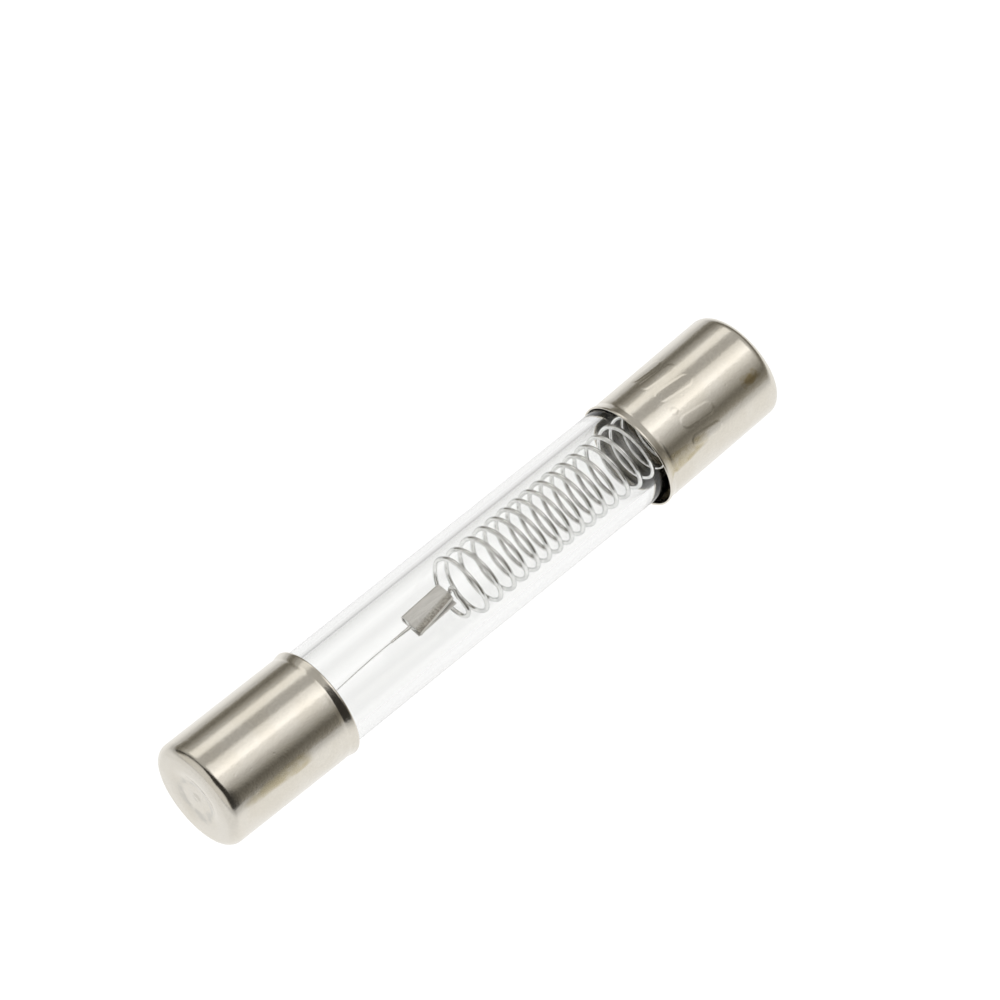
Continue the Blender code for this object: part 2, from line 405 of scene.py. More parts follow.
def ramp(tree, value, low, high, start, end):
    """A smooth change from start to end as value goes from low to high."""
    inputs = {"Value": value, "From Min": low, "From Max": high, "To Min": start, "To Max": end}
    return add_node(tree, "MapRange", inputs, interpolation_type="SMOOTHSTEP").outputs["Result"]


def between(tree, value, rise, fall):
    """1 from the end of the rise to the start of the fall, and 0 outside them. Each is a pair of values."""
    rising = ramp(tree, value, *rise, 0.0, 1.0)
    return calculate(tree, "MULTIPLY", rising, ramp(tree, value, *fall, 1.0, 0.0))


def wandering(tree, value, pattern, amount):
    """The value, moved by up to half of that amount each way as the pattern goes from 0 to 1."""
    wander = calculate(tree, "MULTIPLY", calculate(tree, "SUBTRACT", pattern, 0.5), amount)
    return calculate(tree, "ADD", value, wander)


def rgba(colour):
    return (*colour, 1.0)


def mix_colour(tree, factor, first, second):
    """From the first colour to the second. Each is a node's output or three numbers."""
    ends = [end if isinstance(end, bpy.types.NodeSocket) else rgba(end) for end in (first, second)]
    inputs = {0: factor, 6: ends[0], 7: ends[1]}
    return add_node(tree, "Mix", inputs, data_type="RGBA").outputs[2]


def add_bump(tree, height, depth, below):
    """A bump of height 0 to 1 and that depth in metres, on top of the normal below, if there is one."""
    inputs = {"Height": height, "Distance": depth, "Strength": 1.0}
    if below is not None:
        inputs["Normal"] = below
    return add_node(tree, "Bump", inputs).outputs["Normal"]


def start_material(name, metallic):
    """A new material, its shader, and the object's own coordinates in millimetres."""
    material = bpy.data.materials.new(name)
    material.use_nodes = True
    tree = material.node_tree
    shader = tree.nodes["Principled BSDF"]
    shader.inputs["Metallic"].default_value = metallic
    return material, tree, shader, millimetres(tree)


def streak_mask(tree, place, broad, patchy, streak):
    """Where the khaki streak shows: a patchy strip along one side of the barrel."""
    facing = wandering(tree, dot_product(tree, place, STREAK_SIDE), broad, 0.05)
    start, end, level = streak
    within = between(tree, axis_of(tree, place, "X"), (start, start + 0.8), (end - 0.9, end))
    tarnish = calculate(tree, "MULTIPLY", ramp(tree, facing, level, level + 0.03, 0.0, 1.0), within)
    return calculate(tree, "MULTIPLY", tarnish, patchy)


def stain_mask(tree, place, stain):
    """Where the brown stain shows: a ragged spot that is longer along the cap."""
    offset = add_node(tree, "VectorMath", {0: place, 1: stain}, operation="SUBTRACT").outputs[0]
    apart = length_of(tree, stretched(tree, offset, (0.8, 1.3, 1.3)))
    ragged = calculate(tree, "MULTIPLY", noise_at(tree, place, 2.6, 4.0), 0.9)
    return ramp(tree, calculate(tree, "ADD", apart, ragged), 0.6, 1.05, 0.9, 0.0)


def dish_shade_and_dull_middle(tree, place, broad, patchy):
    """Where the end face is greyer: a broken ring round the dish, which is painted shade of the dish's wall,
    and the dish's middle, which is the face's own duller grey.
    """
    radius = length_of(tree, stretched(tree, place, (0.0, 1.0, 1.0)))
    radius = wandering(tree, radius, broad, 1.2)
    # Painted shade: the ring round the dish stands in for the darker reflections on the dish's wall.
    ring = between(tree, radius, (0.95, 1.25), (1.25, 1.6))
    dull = calculate(tree, "MAXIMUM", ring, ramp(tree, radius, 0.1, 0.6, 0.45, 0.0))
    return calculate(tree, "MULTIPLY", dull, ramp(tree, patchy, 0.35, 1.0, 0.1, 0.6))


def nickel_relief(tree, place):
    """The drawn plate's surface: slow waves, drawing scratches, small pits and fine grain."""
    scratches = noise_at(tree, stretched(tree, place, (0.5, 9.0, 9.0)), 1.3, 2.0)
    pits = add_node(tree, "TexVoronoi", {"Vector": place, "Scale": 1.1}).outputs["Distance"]
    normal = add_bump(tree, noise_at(tree, place, 1.4, 2.0), 5.0e-6, None)
    normal = add_bump(tree, scratches, 0.25e-6, normal)
    normal = add_bump(tree, ramp(tree, pits, 0.02, 0.11, 0.0, 1.0), 2.5e-6, normal)
    return add_bump(tree, noise_at(tree, place, 8.0, 2.0), 2.2e-6, normal)


def drawn_nickel(name, streak, stain):
    """Nickel plate on a drawn cap: warm patches, fine grain, a khaki streak, a stain, and a greyer end face
    with painted shade in a ring round its dish.
    """
    material, tree, shader, place = start_material(name, 1.0)
    broad = noise_at(tree, place, 0.55, 3.0)
    fine = noise_at(tree, place, 7.0, 2.0)
    patchy = ramp(tree, noise_at(tree, place, 1.6, 3.0), 0.25, 0.6, 0.4, 1.0)
    warmth = ramp(tree, broad, 0.35, 0.65, 0.0, 1.0)
    speckle = ramp(tree, fine, 0.3, 0.7, 0.90, 1.0)
    tarnish = streak_mask(tree, place, broad, patchy, streak)

    plate = mix_colour(tree, warmth, (0.745, 0.71, 0.645), (0.715, 0.675, 0.60))
    plate = mix_colour(tree, speckle, (0.40, 0.37, 0.32), plate)
    plate = mix_colour(tree, tarnish, plate, (0.55, 0.485, 0.34))
    plate = mix_colour(tree, stain_mask(tree, place, stain), plate, (0.50, 0.40, 0.22))
    # The end face's grey: painted shade in a ring round the dish, and the dish middle's own duller grey.
    plate = mix_colour(tree, dish_shade_and_dull_middle(tree, place, broad, patchy), plate, (0.52, 0.51, 0.48))
    tree.links.new(plate, shader.inputs["Base Color"])

    worn = ramp(tree, fine, 0.2, 0.8, 0.15, 0.21)
    worn = calculate(tree, "ADD", worn, calculate(tree, "MULTIPLY", tarnish, 0.1))
    tree.links.new(worn, shader.inputs["Roughness"])
    tree.links.new(nickel_relief(tree, place), shader.inputs["Normal"])
    return material


def clear_glass():
    """Clear drawn glass with faint drawing lines."""
    material, tree, shader, place = start_material("clear_glass", 0.0)
    shader.inputs["Transmission Weight"].default_value = 1.0
    shader.inputs["IOR"].default_value = 1.5
    body = add_node(tree, "VolumeAbsorption", {"Color": rgba((0.0, 0.0, 0.0)), "Density": 38.0}).outputs[0]
    tree.links.new(body, tree.nodes["Material Output"].inputs["Volume"])
    lines = noise_at(tree, stretched(tree, place, (0.15, 2.0, 2.0)), 1.0, 2.0)
    tint = mix_colour(tree, lines, (0.982, 0.986, 0.982), (0.997, 0.998, 0.996))
    tree.links.new(tint, shader.inputs["Base Color"])
    tree.links.new(ramp(tree, lines, 0.3, 0.7, 0.0, 0.006), shader.inputs["Roughness"])
    tree.links.new(add_bump(tree, lines, 0.5e-6, None), shader.inputs["Normal"])
    return material


def metal(name, light, dark, roughness, grain, depth, edge=1.0):
    """A plain metal: its colour wanders between light and dark, and roughness and bump follow the grain.

    roughness is the lowest and highest value, grain the number of grains in a millimetre, depth the
    bump's depth in metres, and edge how bright a glancing reflection is.
    """
    material, tree, shader, place = start_material(name, 1.0)
    shader.inputs["Specular Tint"].default_value = rgba((edge, edge, edge))
    pattern = noise_at(tree, place, grain, 3.0)
    broad = noise_at(tree, place, 0.35 * grain, 2.0)
    wear = ramp(tree, calculate(tree, "ADD", pattern, broad), 0.75, 1.25, 0.0, 1.0)
    tree.links.new(mix_colour(tree, wear, dark, light), shader.inputs["Base Color"])
    tree.links.new(ramp(tree, pattern, 0.25, 0.75, roughness[1], roughness[0]), shader.inputs["Roughness"])
    tree.links.new(add_bump(tree, pattern, depth, None), shader.inputs["Normal"])
    return material


def tinned_strip():
    """The lug's dull tinned strip, with painted shade in a dark, grainy band along the top leaf's
    pressed-down free edge.
    """
    material, tree, shader, place = start_material("tinned_strip", 1.0)
    pattern = noise_at(tree, stretched(tree, place, (0.35, 2.2, 2.2)), 2.6, 3.0)
    plain = mix_colour(tree, pattern, (0.60, 0.58, 0.55), (0.90, 0.885, 0.86))
    grains = noise_at(tree, place, 9.0, 3.0)

    slope = TOP_EDGE_RISE / (LUG_END_X - LUG_START_X)
    edge_at_origin = (TOP_EDGE_START - slope * LUG_START_X) / MM
    edge = calculate(tree, "MULTIPLY", axis_of(tree, place, "X"), slope)
    edge = calculate(tree, "ADD", edge, edge_at_origin)
    inward = calculate(tree, "SUBTRACT", axis_of(tree, place, "Y"), edge)
    ragged = calculate(tree, "ADD", inward, calculate(tree, "MULTIPLY", grains, 0.16))
    inner_side = ramp(tree, ragged, 0.33, 0.60, 1.0, 0.0)
    on_top = ramp(tree, axis_of(tree, place, "Z"), 0.0, 0.1, 0.0, 1.0)
    # Painted shade: the dark band along the pressed-down free edge stands in for the shade of the bent edge;
    # its solder-like grain is also raised as a bump.
    shade_and_grain_band = calculate(tree, "MULTIPLY", ramp(tree, inward, 0.03, 0.10, 0.0, 1.0), inner_side)
    shade_and_grain_band = calculate(tree, "MULTIPLY", shade_and_grain_band, on_top)
    # The band's painted shade: two dark tones that follow the grains.
    dark = mix_colour(tree, ramp(tree, grains, 0.3, 0.7, 0.0, 1.0), (0.26, 0.24, 0.21), (0.50, 0.465, 0.41))
    tree.links.new(mix_colour(tree, shade_and_grain_band, plain, dark), shader.inputs["Base Color"])

    tree.links.new(ramp(tree, pattern, 0.25, 0.75, 0.5, 0.36), shader.inputs["Roughness"])
    normal = add_bump(tree, pattern, 5e-6, None)
    normal = add_bump(tree, calculate(tree, "MULTIPLY", grains, shade_and_grain_band), 8e-6, normal)
    tree.links.new(normal, shader.inputs["Normal"])
    return material


def cap_cement():
    """Hard matt cement with small grains, dark brown; its darkness is partly the cement's own colour and
    partly painted shade of the cap's inside.
    """
    material, tree, shader, place = start_material("cap_cement", 0.0)
    grains = noise_at(tree, place, 6.0, 4.0)
    broad = noise_at(tree, place, 1.2, 2.0)
    wear = calculate(tree, "MULTIPLY", calculate(tree, "ADD", grains, broad), 0.5)
    # Partly painted shade: the cement is darkened to stand for the shade inside the cap.
    colour = mix_colour(tree, wear, (0.17, 0.15, 0.11), (0.27, 0.24, 0.18))
    tree.links.new(colour, shader.inputs["Base Color"])
    tree.links.new(ramp(tree, grains, 0.3, 0.7, 0.7, 0.9), shader.inputs["Roughness"])
    tree.links.new(add_bump(tree, grains, 12e-6, None), shader.inputs["Normal"])
    return material


# Pieces


def finish_piece(piece, body, slot, *nodes):
    """The piece rides on a body and stands for CAD nodes. slot is not used."""
    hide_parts(*nodes)
    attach(piece, body)


def build_glass_tube(material):
    """The glass tube with fire-polished ends. Its walls wander by a few thousandths of a millimetre."""
    corners = [
        (GLASS_HALF, GLASS_RADIUS, GLASS_ROUNDING),
        (-GLASS_HALF, GLASS_RADIUS, GLASS_ROUNDING),
        (-GLASS_HALF, BORE_RADIUS, GLASS_ROUNDING),
        (GLASS_HALF, BORE_RADIUS, GLASS_ROUNDING),
    ]
    line = rounded(corners)
    line = refine(np.concatenate([line, line[:1]]), OUTLINE_STEP)[:-1]
    turn = np.linspace(0.0, math.tau, GLASS_STEPS, endpoint=False)
    points = []
    for along, radius in line:
        for angle in turn:
            place = Vector((120.0 * along, 1.2 * math.cos(angle), 1.2 * math.sin(angle) + 300.0 * radius))
            reach = radius + GLASS_WANDER * noise.noise(place)
            points.append((along, reach * math.cos(angle), reach * math.sin(angle)))
    faces = ring_faces(len(line), GLASS_STEPS, joined_ends=True)
    tube = mesh_piece("glass_tube_fine", points, faces, material)
    finish_piece(tube, "root", "clear_glass", "glass_tube")


def cap_line():
    """Half section of a drawn cap, from the middle of its end round to the inside.

    Each point is its depth from the end plane, and its radius.
    """
    outside = [
        (0.11 * MM, 0.16 * MM, 0.05 * MM),
        (0.17 * MM, 0.34 * MM, 0.06 * MM),
        (0.165 * MM, 1.22 * MM, 0.30 * MM),
        (0.01 * MM, 1.85 * MM, 0.30 * MM),
        (0.0, CAP_RADIUS, 0.62 * MM),
        (7.98 * MM, CAP_RADIUS, 0.08 * MM),
        (8.18 * MM, 3.162 * MM, 0.08 * MM),
        (8.60 * MM, 3.262 * MM, 0.05 * MM),
        (CAP_LENGTH, 3.235 * MM, 0.04 * MM),
        (CAP_LENGTH - 0.04 * MM, 3.15 * MM, 0.04 * MM),
        (8.35 * MM, CAP_INNER_RADIUS, 0.10 * MM),
    ]
    inside = [
        (0.45 * MM, CAP_INNER_RADIUS, 0.2 * MM),
        (0.35 * MM, 2.1 * MM, 0.1 * MM),
        (0.5 * MM, 1.3 * MM, 0.1 * MM),
    ]
    top = [(0.13 * MM, 0.02 * MM, 0.0)]
    bottom = [(0.5 * MM, 0.02 * MM, 0.0)]
    return rounded(top + outside + inside + bottom)


def bar_relief(along, turn, bars):
    """How far the plain raised bars with rounded ends stand out, at places along and round the cap."""
    height = np.zeros_like(turn)
    for middle, bar_turn, length, width, slant in bars:
        across = np.radians(turn - bar_turn) * CAP_RADIUS
        lean = math.radians(slant)
        first = (along - middle) * math.cos(lean) + across * math.sin(lean)
        second = across * math.cos(lean) - (along - middle) * math.sin(lean)
        reach = max(0.0, (length - width) / 2)
        beyond = np.maximum(np.abs(first) - reach, 0.0)
        outside = np.hypot(beyond, second) - width / 2
        height = np.maximum(height, 1.0 - smoothstep(*BAR_SIDE, outside))
    return height * BAR_HEIGHT


def refine_for_bars(line):
    """The cap's outline with short steps where the barrel carries bars."""
    fine = []
    for start, end in zip(line, line[1:]):
        fine.append(start[None])
        on_barrel = min(start[1], end[1]) > CAP_RADIUS - 0.001 * MM
        if on_barrel and BARS_START < start[0] < BARS_END:
            fine.append(refine(np.array([start, end]), BAR_STEP)[1:-1])
    return np.concatenate([*fine, line[-1:]])


def build_cap(name, seat, bars, material, node):
    """A drawn cap that sits slightly crooked on the glass, with raised bars or none."""
    direction = seat[0]
    line = refine(cap_line(), OUTLINE_STEP)
    sides = CAP_STEPS // 2
    if bars:
        line = refine_for_bars(line)
        sides = CAP_STEPS
    turn = np.linspace(-180.0, 180.0, sides, endpoint=False)
    angle = np.radians(CAMERA_SIDE + turn)
    mouth = np.argmax(line[:, 0])
    points = []
    for index, (depth, radius) in enumerate(line):
        reach = np.full(sides, radius)
        if bars and index <= mouth:
            reach = reach + bar_relief(depth, turn, bars)
        along = np.full(sides, direction * (FUSE_HALF - depth))
        points.append(np.stack([along, reach * np.cos(angle), reach * np.sin(angle)], 1))
    poles = [(direction * (FUSE_HALF - depth), 0.0, 0.0) for depth in (line[0][0], line[-1][0])]
    points = np.concatenate([*points, np.array(poles)])
    move = crooked(*seat)
    points = np.array([move @ Vector(point) for point in points])
    faces = ring_faces(len(line), sides, joined_ends=False)
    faces += pole_faces(0, len(points) - 2, sides)
    faces += pole_faces(len(line) - 1, len(points) - 1, sides)
    cap = mesh_piece(name, points, faces, material)
    finish_piece(cap, "root", "nickel_plate", node)


def crooked(direction, tilt, pivot_x, shift):
    """The small turn and move of a cap away from the glass tube's axis.

    The cap is tilted about the line towards the camera through pivot_x, and then moved by shift across
    that line, to the +Y side.
    """
    side = math.radians(CAMERA_SIDE)
    towards = Vector((0.0, math.cos(side), math.sin(side)))
    upper = Vector((0.0, math.sin(side), -math.cos(side)))
    pivot = Vector((direction * pivot_x, 0.0, 0.0))
    turn = Matrix.Rotation(math.radians(tilt), 4, towards)
    return Matrix.Translation(pivot + upper * shift) @ turn @ Matrix.Translation(-pivot)


def build_cement(name, seat, material, node):
    """The ring of cement that fills the gap between the glass and the crooked cap."""
    start = FUSE_HALF - CEMENT_START - CEMENT_LENGTH
    end = FUSE_HALF - CEMENT_START
    inner = GLASS_RADIUS + CEMENT_GAP
    outer = CAP_INNER_RADIUS - CEMENT_GAP
    move = crooked(*seat)
    points = []
    for along, on_glass in ((start, True), (start, False), (end, False), (end, True)):
        radius = inner if on_glass else outer
        for side in range(CEMENT_STEPS):
            angle = math.tau * side / CEMENT_STEPS
            place = Vector((3.0 * math.cos(angle), 3.0 * math.sin(angle), 900.0 * along))
            x = seat[0] * (along + CEMENT_RAGGEDNESS * noise.noise(place))
            point = Vector((x, radius * math.cos(angle), radius * math.sin(angle)))
            points.append(point if on_glass else move @ point)
    ring = mesh_piece(name, points, ring_faces(4, CEMENT_STEPS, joined_ends=True), material)
    finish_piece(ring, "root", "cap_cement", node)


def coil_point(turns):
    """The spring wire's centre line on a right-handed helix, whose turns have settled a little unevenly."""
    knots, places = np.array(COIL_KNOTS).T
    slopes = np.gradient(places, knots)
    index = min(max(int(np.searchsorted(knots, turns)) - 1, 0), len(knots) - 2)
    span = knots[index + 1] - knots[index]
    t = (turns - knots[index]) / span
    start = places[index] * (1 + 2 * t) * (1 - t) ** 2 + slopes[index] * span * t * (1 - t) ** 2
    end = places[index + 1] * t * t * (3 - 2 * t) + slopes[index + 1] * span * t * t * (t - 1)
    angle = math.tau * turns
    x = (start + end) * MM + COIL_LEAN * COIL_RADIUS * math.sin(angle)
    angle += math.radians(COIL_START_ANGLE)
    return Vector((x, COIL_RADIUS * math.cos(angle), COIL_RADIUS * math.sin(angle)))


def spring_hook():
    """The spring's tail: from between the lug's leaves it bends up, over and down, and round to the coil."""
    route = [
        Vector((-2.60, 0.10, 0.0)),
        Vector((-1.97, 0.10, 0.0)),
        Vector((-1.68, 0.12, 0.07)),
        Vector((-1.60, 0.15, 0.26)),
        Vector((-1.57, 0.06, 0.41)),
        Vector((-1.55, -0.13, 0.39)),
        Vector((-1.58, -0.36, 0.15)),
        Vector((-1.53, -0.63, -0.10)),
        Vector((-1.50, -1.03, -0.45)),
        Vector((-1.51, -1.13, -0.78)),
        Vector((-1.56, -1.02, -1.18)),
        Vector((-1.62, -0.54, -1.40)),
        Vector((-1.70, 0.12, -1.27)),
        Vector((-1.60, 0.90, -1.14)),
        Vector((-1.45, 1.40, -0.68)),
        Vector((-1.25, 1.76, 0.04)),
        Vector((-1.10, 1.67, 0.82)),
        Vector((-1.00, 0.62, 1.66)),
    ]
    return [point * MM for point in route]


def build_spring(material):
    """The tension spring, with a soldered end."""
    count = round((LAST_TURN - FIRST_TURN) * POINTS_PER_TURN)
    step = (LAST_TURN - FIRST_TURN) / count
    coil = [coil_point(FIRST_TURN + step * index) for index in range(count + 1)]
    # The tail's curve runs on to a later point of the coil, so that the two meet without a kink
    tail = smooth_path([*spring_hook(), coil[0], coil[TAIL_STEPS]], TAIL_STEPS)[:-TAIL_STEPS]
    spring = wire_piece("retraction_spring_fine", tail + coil[1:], SPRING_WIRE_RADIUS, SPRING_SIDES, material)
    finish_piece(spring, "root", "spring_wire", "retraction_spring")
    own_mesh(spring)


def lug_section(share):
    """The middle line of the lug's sheet at a share of the lug's length, as (y, z) points.

    It runs from the top leaf's free edge, which is pressed down, round the fold to the bottom leaf's.
    """
    leaf = (LUG_GAP + LUG_SHEET) / 2
    top_edge = TOP_EDGE_START + TOP_EDGE_RISE * share
    fold_edge = FOLD_START + FOLD_RISE * share - leaf
    bottom_edge = BOTTOM_EDGE_START + BOTTOM_EDGE_RISE * share
    section = []
    for step in range(LEAF_STEPS + 1):
        y = top_edge + (fold_edge - top_edge) * step / LEAF_STEPS
        press = EDGE_PRESS * math.exp(-(((y - top_edge) / EDGE_PRESS_WIDTH) ** 2))
        section.append((y, leaf - press))
    for step in range(1, FOLD_STEPS + 1):
        angle = math.pi / 2 - math.pi * step / FOLD_STEPS
        section.append((fold_edge + leaf * math.cos(angle), leaf * math.sin(angle)))
    for step in range(1, FOLD_STEPS + 1):
        section.append((fold_edge + (bottom_edge - fold_edge) * step / FOLD_STEPS, -leaf))
    return np.array(section)


def lug_dent(x, y, z):
    """Small unevenness of the sheet: a crimp mark over the fuse wire, and slow waves."""
    if z < 0.0:
        return 0.0
    crimp = math.exp(-((x - CRIMP_X) ** 2 + (y - CRIMP_Y) ** 2) / CRIMP_SIZE**2)
    waves = noise.noise(Vector((900.0 * x, 1400.0 * y, 0.7)))
    return LUG_WAVES * waves - CRIMP_DEPTH * crimp


def sheet_outline(section, thickness):
    """The closed outline of a sheet: out along one side of its middle line and back along the other."""
    along = np.gradient(section, axis=0)
    along /= np.linalg.norm(along, axis=1)[:, None]
    normals = np.stack([-along[:, 1], along[:, 0]], 1)

    def edge_round(end, outwards):
        angles = np.radians(EDGE_ANGLES)[:, None] * outwards
        offsets = normals[end] * np.sin(angles) + outwards * along[end] * np.cos(angles)
        return section[end] + thickness * offsets

    outer = section + normals * thickness
    inner = (section - normals * thickness)[::-1]
    return np.concatenate([outer, edge_round(-1, 1), inner, edge_round(0, -1)])


def sheet_end_faces(base, leaf_points):
    """Faces that close one end of the sheet, whose outline's points start at base."""
    edge_points = len(EDGE_ANGLES)
    other = leaf_points + edge_points
    faces = []
    for index in range(leaf_points - 1):
        opposite = other + leaf_points - 1 - index
        faces.append((base + index, base + index + 1, base + opposite - 1, base + opposite))
    faces.append(tuple(base + leaf_points - 1 + step for step in range(edge_points + 2)))
    last_edge = [base + other + leaf_points - 1 + step for step in range(edge_points + 1)]
    faces.append((*last_edge, base))
    return faces


def build_crimp_lug(material):
    """The folded strip of tinned metal that joins the spring's hook to the fuse wire."""
    length = LUG_END_X - LUG_START_X
    half = LUG_SHEET / 2
    # The sheet gets thinner over the last half thickness at each end, which rounds its cut edges
    end_shares = [depth * half / length for depth in (0.0, 0.12, 0.4, 0.75, 1.0)]
    middle_shares = np.linspace(end_shares[-1], 1.0 - end_shares[-1], LUG_STATIONS)[1:-1]
    shares = [*end_shares, *middle_shares, *[1.0 - share for share in reversed(end_shares)]]
    points = []
    for share in shares:
        x = LUG_START_X + length * share
        depth = min(share, 1.0 - share) * length / half
        thickness = half * math.sqrt(max(0.06, 1.0 - max(0.0, 1.0 - depth) ** 2))
        outline = sheet_outline(lug_section(share), thickness)
        for y, z in outline:
            lean = LUG_END_LEAN * (1.0 - 2.0 * share) * y / LUG_HALF_WIDTH
            points.append((x + lean, y, z + lug_dent(x, y, z)))
    count = len(outline)
    leaf_points = len(lug_section(0.0))
    faces = ring_faces(len(shares), count, joined_ends=False)
    for ring in (0, len(shares) - 1):
        faces += sheet_end_faces(ring * count, leaf_points)
    lug = mesh_piece("crimp_lug_fine", points, faces, material)
    finish_piece(lug, "lug", "tinned_strip", "crimp_lug")


def build_lug_solder(material):
    """The tapered sleeve of solder round the fuse wire, which fills the lug's mouth between its leaves."""
    corners = [
        (SLEEVE_END_X, SLEEVE_BORE, 0.0),
        (SLEEVE_END_X, 0.10 * MM, 0.03 * MM),
        (-4.5 * MM, 0.10 * MM, 0.1 * MM),
        (-4.85 * MM, 0.105 * MM, 0.1 * MM),
        (-5.4 * MM, 0.085 * MM, 0.1 * MM),
        (SLEEVE_TIP_X, 0.07 * MM, 0.012 * MM),
        (SLEEVE_TIP_X, SLEEVE_BORE, 0.0),
    ]
    line = refine(rounded(corners), 0.06 * MM)
    points = []
    for along, radius in line:
        outside = radius > SLEEVE_BORE * 1.1
        spread = 0.0
        if outside:
            spread = float(smoothstep(LUG_START_X - 0.03 * MM, LUG_START_X + 0.10 * MM, along))
        width = 1.0 + (MOUTH_WIDENING - 1.0) * spread
        thickness = 1.0 + (MOUTH_THICKENING - 1.0) * spread
        for side in range(SLEEVE_STEPS):
            angle = math.tau * side / SLEEVE_STEPS
            reach = radius
            if outside:
                place = Vector((4000.0 * along, math.cos(angle), math.sin(angle)))
                reach += SLEEVE_LUMPS * noise.noise(place)
            y = reach * math.cos(angle) * width + MOUTH_OFFSET * spread
            points.append((along, y, reach * math.sin(angle) * thickness))
    faces = ring_faces(len(line), SLEEVE_STEPS, joined_ends=True)
    sleeve = mesh_piece("lug_solder_fine", points, faces, material)
    finish_piece(sleeve, "lug", "solder", "lug_solder")


def build_fuse_wire(material):
    """The fuse wire, with a slight bow between its two joints."""
    path = []
    for step in range(WIRE_STEPS + 1):
        x = WIRE_START_X + (WIRE_END_X - WIRE_START_X) * step / WIRE_STEPS
        share = min(1.0, max(0.0, (x - BOW_START_X) / (BOW_END_X - BOW_START_X)))
        path.append((x, -WIRE_BOW * math.sin(math.pi * share) ** 2, 0.0))
    wire = wire_piece("fuse_wire_fine", path, FUSE_WIRE_RADIUS, WIRE_SIDES, material)
    finish_piece(wire, "root", "fuse_wire", "fuse_wire")


def keep_node(name, material):
    """A CAD node that stays, with a finer material."""
    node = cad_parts[name]
    node.data.materials.clear()
    node.data.materials.append(material)


def build_fuse():
    near_nickel = drawn_nickel("nickel_plate_near", NEAR_STREAK, NEAR_STAIN)
    far_nickel = drawn_nickel("nickel_plate_far", FAR_STREAK, FAR_STAIN)
    cement = cap_cement()
    solder = metal("solder", (0.86, 0.85, 0.83), (0.66, 0.65, 0.63), (0.22, 0.36), 3.0, 3e-6)
    steel = metal("spring_wire", (0.92, 0.92, 0.91), (0.80, 0.80, 0.79), (0.04, 0.09), 2.2, 0.4e-6, edge=0.65)
    silver = metal("fuse_wire", (0.82, 0.82, 0.81), (0.66, 0.66, 0.65), (0.25, 0.4), 2.0, 1e-6)
    build_glass_tube(clear_glass())
    build_cap("near_cap_fine", NEAR_SEAT, (), near_nickel, "near_cap")
    build_cap("far_cap_fine", FAR_SEAT, FAR_BARS, far_nickel, "far_cap")
    build_cement("near_cement_fine", NEAR_SEAT, cement, "near_cement")
    build_cement("far_cement_fine", FAR_SEAT, cement, "far_cement")
    build_spring(steel)
    build_crimp_lug(tinned_strip())
    build_lug_solder(solder)
    build_fuse_wire(silver)
    keep_node("near_solder", solder)
    keep_node("far_solder", solder)


# Surroundings


def floor_material():
    """A glow that is even to the eye, and gets weaker away from the fuse in reflections and through glass."""
    material = bpy.data.materials.new("pale_floor")
    material.use_nodes = True
    tree = material.node_tree
    tree.nodes.clear()
    place = millimetres(tree)
    apart = calculate(tree, "ABSOLUTE", axis_of(tree, place, "Y"), 0.0)
    beside = ramp(tree, apart, 9.0, 40.0, 1.0, 0.62)
    near_end = ramp(tree, axis_of(tree, place, "X"), -24.0, -19.5, 0.86, 1.0)
    glow = calculate(tree, "MULTIPLY", beside, calculate(tree, "MULTIPLY", near_end, 0.94))
    seen = add_node(tree, "LightPath", {}).outputs["Is Camera Ray"]
    strength = calculate(tree, "MULTIPLY", calculate(tree, "MAXIMUM", glow, seen), FLOOR_GLOW)
    light = add_node(tree, "Emission", {"Color": rgba((1.0, 1.0, 0.995)), "Strength": strength}).outputs[0]
    matt = add_node(tree, "BsdfDiffuse", {"Color": rgba((0.08, 0.08, 0.08))}).outputs[0]
    surface = add_node(tree, "AddShader", {0: light, 1: matt}).outputs[0]
    output = add_node(tree, "OutputMaterial", {})
    tree.links.new(surface, output.inputs["Surface"])
    return material


def build_floor():
    """A pale floor at the height of the object's lowest point."""
    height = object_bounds()[0].z
    corners = [(x * FLOOR_HALF, y * FLOOR_HALF, height) for x, y in ((-1, -1), (1, -1), (1, 1), (-1, 1))]
    data = bpy.data.meshes.new("floor")
    data.from_pydata(corners, [], [(0, 1, 2, 3)])
    data.materials.append(floor_material())
    floor = bpy.data.objects.new("floor", data)
    bpy.context.scene.collection.objects.link(floor)


def wall_colour(tree, height):
    """The colour of the room's walls at the height of a direction."""
    walls = add_node(tree, "ValToRGB", {0: height})
    stops = walls.color_ramp.elements
    while len(stops) < len(WALL_STOPS):
        stops.new(1.0)
    for stop, (place, colour) in zip(stops, WALL_STOPS):
        stop.position = place
        stop.color = rgba(colour)
    return walls.outputs["Color"]


def person_mask(tree, direction):
    """The dark shape of whoever takes the photo, which leans, and is wider low down."""
    lower = dot_product(tree, direction, LOWER_SIDE)
    middle = ramp(tree, lower, -0.05, 0.6, -0.315, -0.04)
    apart = calculate(tree, "SUBTRACT", axis_of(tree, direction, "X"), middle)
    apart = calculate(tree, "ABSOLUTE", apart, 0.0)
    beyond = calculate(tree, "SUBTRACT", apart, ramp(tree, lower, -0.75, 0.1, 0.08, 0.36))
    return ramp(tree, beyond, -0.04, 0.03, 1.0, 0.0)


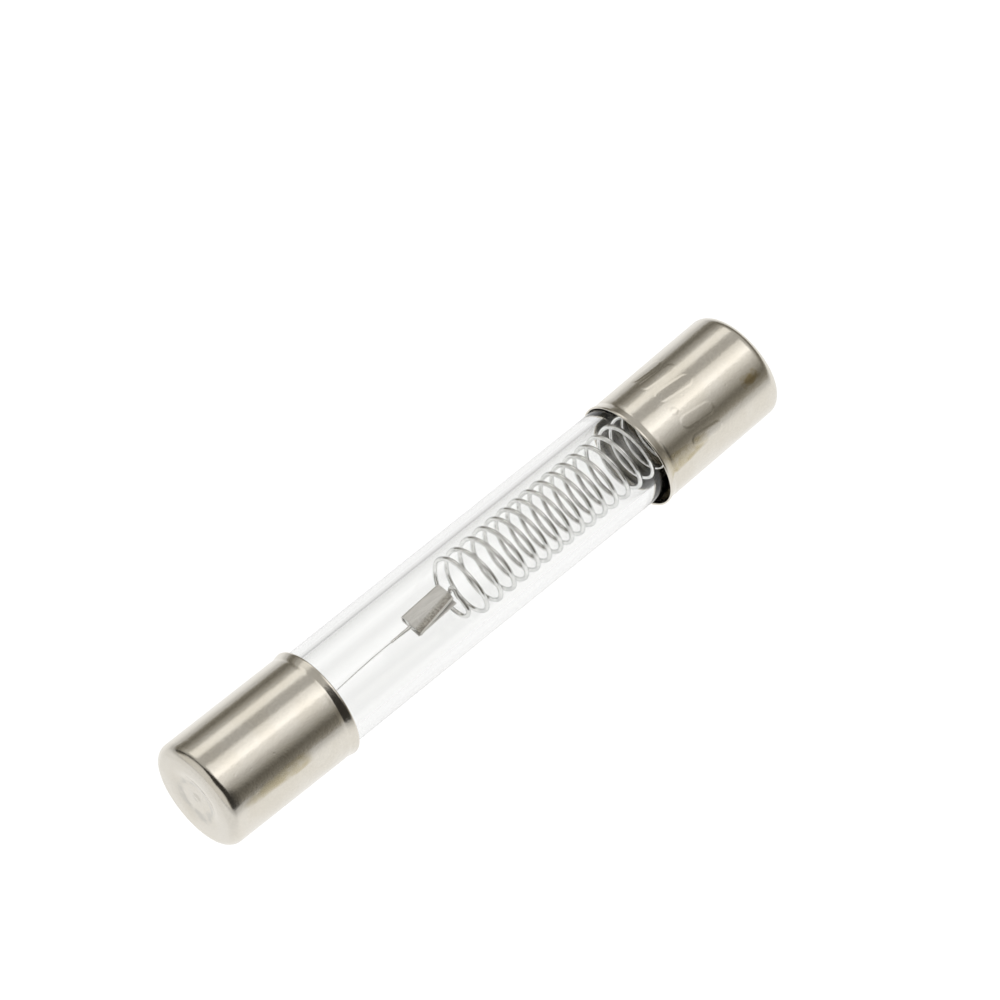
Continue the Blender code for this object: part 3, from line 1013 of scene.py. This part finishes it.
def build_world():
    """A soft room: bright over the camera and on the left, and dark where the photographer stands."""
    world = bpy.data.worlds.new("studio")
    bpy.context.scene.world = world
    world.use_nodes = True
    tree = world.node_tree
    direction = add_node(tree, "TexCoord", {}).outputs["Generated"]
    split = add_node(tree, "SeparateXYZ", {0: direction}).outputs
    height = calculate(tree, "ADD", split["Z"], calculate(tree, "MULTIPLY", split["Y"], 0.08))
    overhead = ramp(tree, height, 0.56, 0.80, 0.0, 1.0)
    front = calculate(tree, "MULTIPLY", overhead, ramp(tree, split["Y"], -0.3, 0.05, 1.0, 0.0))
    left = ramp(tree, split["X"], -0.60, -0.45, 1.0, 0.0)
    seen = add_node(tree, "LightPath", {}).outputs["Is Camera Ray"]
    room = mix_colour(tree, front, wall_colour(tree, height), FRONT_COLOUR)
    room = mix_colour(tree, left, room, LEFT_COLOUR)
    room = mix_colour(tree, person_mask(tree, direction), room, PERSON_COLOUR)
    room = mix_colour(tree, seen, room, (1.0, 1.0, 1.0))
    tree.links.new(room, tree.nodes["Background"].inputs["Color"])


def add_panel(name, first, last, start_x, end_x, radiance, colour):
    """A soft light panel over the fuse, between two angles above +Y, seen from the fuse's axis."""
    middle = math.radians((first + last) / 2)
    width = 2 * PANEL_DISTANCE * math.tan(math.radians(last - first) / 2)
    length = end_x - start_x
    light = bpy.data.lights.new(name, "AREA")
    light.shape = "RECTANGLE"
    light.size = length
    light.size_y = width
    light.energy = radiance * math.pi * length * width
    light.color = colour
    panel = bpy.data.objects.new(name, light)
    away = Vector((0.0, math.cos(middle), math.sin(middle)))
    along = Vector((1.0, 0.0, 0.0))
    turn = Matrix((along, away.cross(along), away)).transposed().to_4x4()
    centre = away * PANEL_DISTANCE + along * (start_x + end_x) / 2
    panel.matrix_world = Matrix.Translation(centre) @ turn
    bpy.context.scene.collection.objects.link(panel)


def build_camera():
    azimuth = math.radians(CAMERA_AZIMUTH)
    elevation = math.radians(CAMERA_ELEVATION)
    flat = math.cos(elevation)
    back = Vector((math.sin(azimuth) * flat, -math.cos(azimuth) * flat, math.sin(elevation)))
    right = Vector((0.0, 0.0, 1.0)).cross(back).normalized()
    up = back.cross(right)
    data = bpy.data.cameras.new("camera")
    data.lens = CAMERA_LENS
    data.sensor_width = CAMERA_SENSOR
    data.clip_start = 0.01
    data.clip_end = 10.0
    camera = bpy.data.objects.new("camera", data)
    turn = Matrix((right, up, back)).transposed().to_4x4()
    place = back * CAMERA_DISTANCE + right * CAMERA_RIGHT + up * CAMERA_UP
    camera.matrix_world = Matrix.Translation(place) @ turn
    bpy.context.scene.collection.objects.link(camera)
    bpy.context.scene.camera = camera


build_fuse()
build_floor()
build_world()
for panel in PANELS:
    add_panel(*panel)
build_camera()
bpy.context.scene.view_settings.view_transform = "Standard"
bpy.context.scene.cycles.blur_glossy = 0.0
